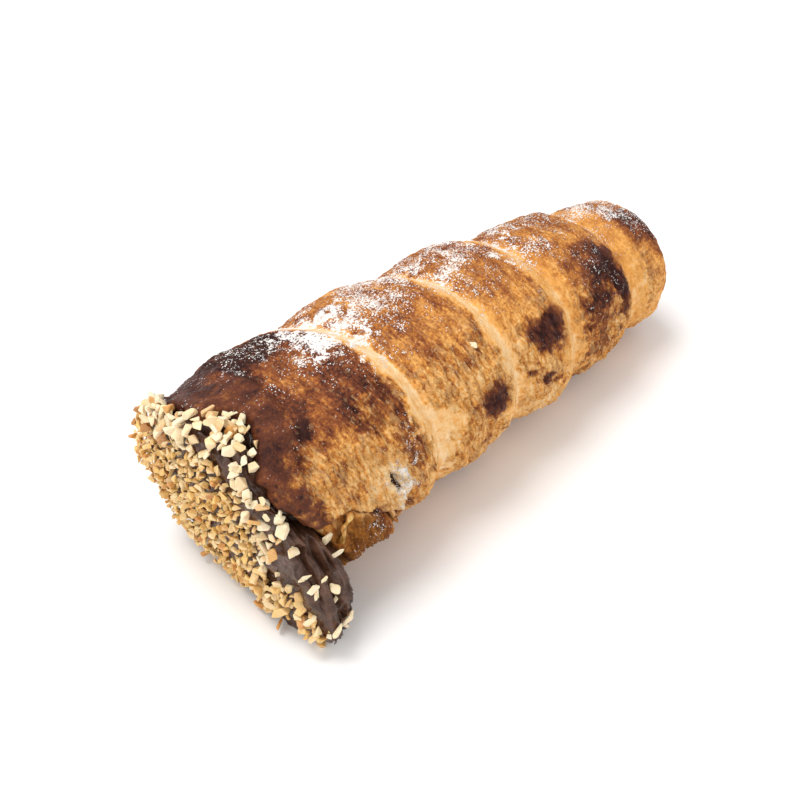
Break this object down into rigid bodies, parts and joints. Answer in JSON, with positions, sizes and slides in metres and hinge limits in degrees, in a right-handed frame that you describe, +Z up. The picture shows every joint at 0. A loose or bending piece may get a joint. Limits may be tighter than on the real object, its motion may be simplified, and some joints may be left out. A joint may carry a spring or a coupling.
{
  "type": "cream horn pastry",
  "caption": "Baked pastry horn wound from a strip of dough, closed and rounded at its tip, filled with chocolate cream that runs out of the mouth, its end coated in chopped nuts.",
  "frame": {"origin": "middle of the bounding box in X and Y, at the height of the surface that the pastry lies on", "axes": "+X along the horn from its filled mouth to its closed tip, +Z up, +Y to the left when looking from the mouth towards the tip"},
  "size_m": [0.1492, 0.0598, 0.0512],
  "materials": {
    "baked_dough": "baked crust, matt, brown on top and golden at the sides",
    "chocolate_cream": "dark chocolate cream, satin",
    "chopped_nuts": "pale chopped nuts, matt, some of them toasted"
  },
  "bodies": {
    "root": {"dough_horn": "baked_dough", "chocolate_filling": "chocolate_cream", "nut_coating": "chopped_nuts"}
  },
  "joints": []
}
